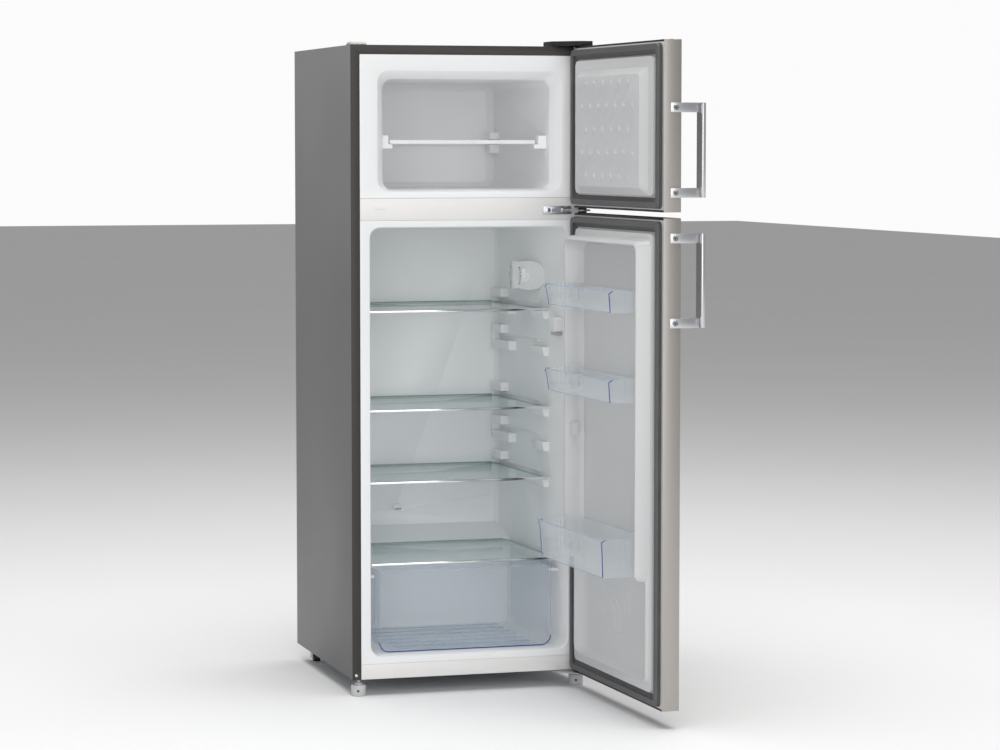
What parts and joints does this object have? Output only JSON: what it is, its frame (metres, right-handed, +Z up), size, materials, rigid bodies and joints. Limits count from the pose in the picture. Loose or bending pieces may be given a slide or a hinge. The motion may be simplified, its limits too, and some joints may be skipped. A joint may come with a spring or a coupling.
{
  "type": "top freezer refrigerator",
  "caption": "Tall refrigerator with a freezer compartment on top; both doors stand open on the right, with glass shelves, a crisper drawer and door bins.",
  "frame": {"origin": "bottom centre of the whole part's box with both doors open, on the floor", "axes": "+Z up, -Y towards the front of the cabinet, +X to the hinge side"},
  "size_m": [0.6137, 1.1018, 1.4394],
  "materials": {
    "silver_paint": "fine textured metallic silver paint",
    "stainless": "brushed, taupe grey",
    "aluminium": "satin",
    "zinc_steel": "zinc plated",
    "white_liner": "smooth white, moulded",
    "grey_liner": "smooth light grey, moulded",
    "gasket_rubber": "matt dark grey",
    "cap_grey": "dark grey",
    "black_plastic": "black, fine grained",
    "light_grey_plastic": "light grey",
    "foam": "rigid insulation foam",
    "glass": "clear with a pale edge",
    "clear_plastic": "clear with blue edges",
    "lens": "milky white",
    "black_steel": "black enamel",
    "white_wire": "white coated wire"
  },
  "bodies": {
    "cabinet": {"cabinet_shell": "silver_paint", "rear_panel": "silver_paint", "bottom_panel": "zinc_steel", "cabinet_foam": "foam", "freezer_liner": "white_liner", "fridge_liner": "white_liner", "centre_rail": "white_liner", "kick_plate": "white_liner", "corner_cap": "light_grey_plastic", "top_hinge": "zinc_steel", "top_hinge_cover": "black_plastic", "centre_hinge": "zinc_steel", "bottom_hinge": "black_steel", "compressor_base": "zinc_steel", "compressor": "black_steel", "relay_cover": "black_plastic", "cord_gland": "black_plastic", "evaporation_tray": "black_plastic", "drain_hose": "light_grey_plastic", "drain_cover": "white_liner", "condenser": "black_steel", "fridge_evaporator": "aluminium", "freezer_evaporator": "aluminium", "thermostat_housing": "white_liner", "lamp_lens": "lens", "lamp_bulb": "glass", "light_switch": "white_liner", "crisper_cover": "glass"},
    "freezer_door": {"freezer_door_skin": "stainless", "freezer_door_liner": "grey_liner", "freezer_door_gasket": "gasket_rubber", "freezer_door_top_cap": "cap_grey", "freezer_door_bottom_cap": "cap_grey", "freezer_door_foam": "foam", "freezer_handle_bar": "aluminium", "freezer_handle_upper_bracket": "aluminium", "freezer_handle_lower_bracket": "aluminium"},
    "fridge_door": {"fridge_door_skin": "stainless", "fridge_door_liner": "grey_liner", "fridge_door_gasket": "gasket_rubber", "fridge_door_top_cap": "cap_grey", "fridge_door_bottom_cap": "cap_grey", "fridge_door_foam": "foam", "fridge_handle_bar": "aluminium", "fridge_handle_upper_bracket": "aluminium", "fridge_handle_lower_bracket": "aluminium"},
    "freezer_shelf": {"freezer_shelf": "white_wire"},
    "upper_shelf": {"upper_glass_shelf": "glass"},
    "middle_shelf": {"middle_glass_shelf": "glass"},
    "lower_shelf": {"lower_glass_shelf": "glass"},
    "crisper_drawer": {"crisper_drawer": "clear_plastic"},
    "upper_bin": {"upper_bin": "clear_plastic"},
    "middle_bin": {"middle_bin": "clear_plastic"},
    "bottle_bin": {"bottle_bin": "clear_plastic"},
    "thermostat_knob": {"thermostat_knob": "white_liner"},
    "light_switch_plunger": {"light_switch_plunger": "light_grey_plastic"},
    "front_left_foot": {"front_left_foot": "light_grey_plastic"},
    "front_right_foot": {"front_right_foot": "light_grey_plastic"},
    "rear_left_roller": {"rear_left_roller": "black_plastic"},
    "rear_right_roller": {"rear_right_roller": "black_plastic"}
  },
  "joints": [
    {"name": "freezer_door_hinge", "type": "hinge", "parent": "cabinet", "child": "freezer_door", "pos_m": [0.2176, -0.02288, 1.25], "axis": [0, 0, 1], "range_deg": [-91.97, 33]},
    {"name": "fridge_door_hinge", "type": "hinge", "parent": "cabinet", "child": "fridge_door", "pos_m": [0.2176, -0.02288, 1.067], "axis": [0, 0, 1], "range_deg": [-91.97, 33]},
    {"name": "freezer_shelf_slide", "type": "slide", "parent": "cabinet", "child": "freezer_shelf", "axis": [0, -1, 0], "range_m": [0, 0.25]},
    {"name": "upper_shelf_slide", "type": "slide", "parent": "cabinet", "child": "upper_shelf", "axis": [0, -1, 0], "range_m": [0, 0.12]},
    {"name": "middle_shelf_slide", "type": "slide", "parent": "cabinet", "child": "middle_shelf", "axis": [0, -1, 0], "range_m": [0, 0.12]},
    {"name": "lower_shelf_slide", "type": "slide", "parent": "cabinet", "child": "lower_shelf", "axis": [0, -1, 0], "range_m": [0, 0.12]},
    {"name": "crisper_slide", "type": "slide", "parent": "cabinet", "child": "crisper_drawer", "axis": [0, -1, 0], "range_m": [0, 0.26]},
    {"name": "upper_bin_lift", "type": "slide", "parent": "fridge_door", "child": "upper_bin", "axis": [0, 0, 1], "range_m": [0, 0.03]},
    {"name": "middle_bin_lift", "type": "slide", "parent": "fridge_door", "child": "middle_bin", "axis": [0, 0, 1], "range_m": [0, 0.03]},
    {"name": "bottle_bin_lift", "type": "slide", "parent": "fridge_door", "child": "bottle_bin", "axis": [0, 0, 1], "range_m": [0, 0.03]},
    {"name": "thermostat_turn", "type": "hinge", "parent": "cabinet", "child": "thermostat_knob", "pos_m": [0.15429, 0.22692, 0.914], "axis": [0.9184, 0.3955, 0], "range_deg": [0, 240]},
    {"name": "light_switch_press", "type": "slide", "parent": "cabinet", "child": "light_switch_plunger", "axis": [0, 1, 0], "range_m": [0, 0.004], "stiffness_N_per_m": 150},
    {"name": "front_left_foot_turn", "type": "hinge", "parent": "cabinet", "child": "front_left_foot", "pos_m": [-0.2889, 0.02892, 0], "axis": [0, 0, 1], "continuous": true},
    {"name": "front_right_foot_turn", "type": "hinge", "parent": "cabinet", "child": "front_right_foot", "pos_m": [0.2151, 0.02892, 0], "axis": [0, 0, 1], "continuous": true},
    {"name": "rear_left_roller_spin", "type": "hinge", "parent": "cabinet", "child": "rear_left_roller", "pos_m": [-0.2719, 0.50292, 0.017], "axis": [1, 0, 0], "continuous": true},
    {"name": "rear_right_roller_spin", "type": "hinge", "parent": "cabinet", "child": "rear_right_roller", "pos_m": [0.1981, 0.50292, 0.017], "axis": [1, 0, 0], "continuous": true}
  ]
}
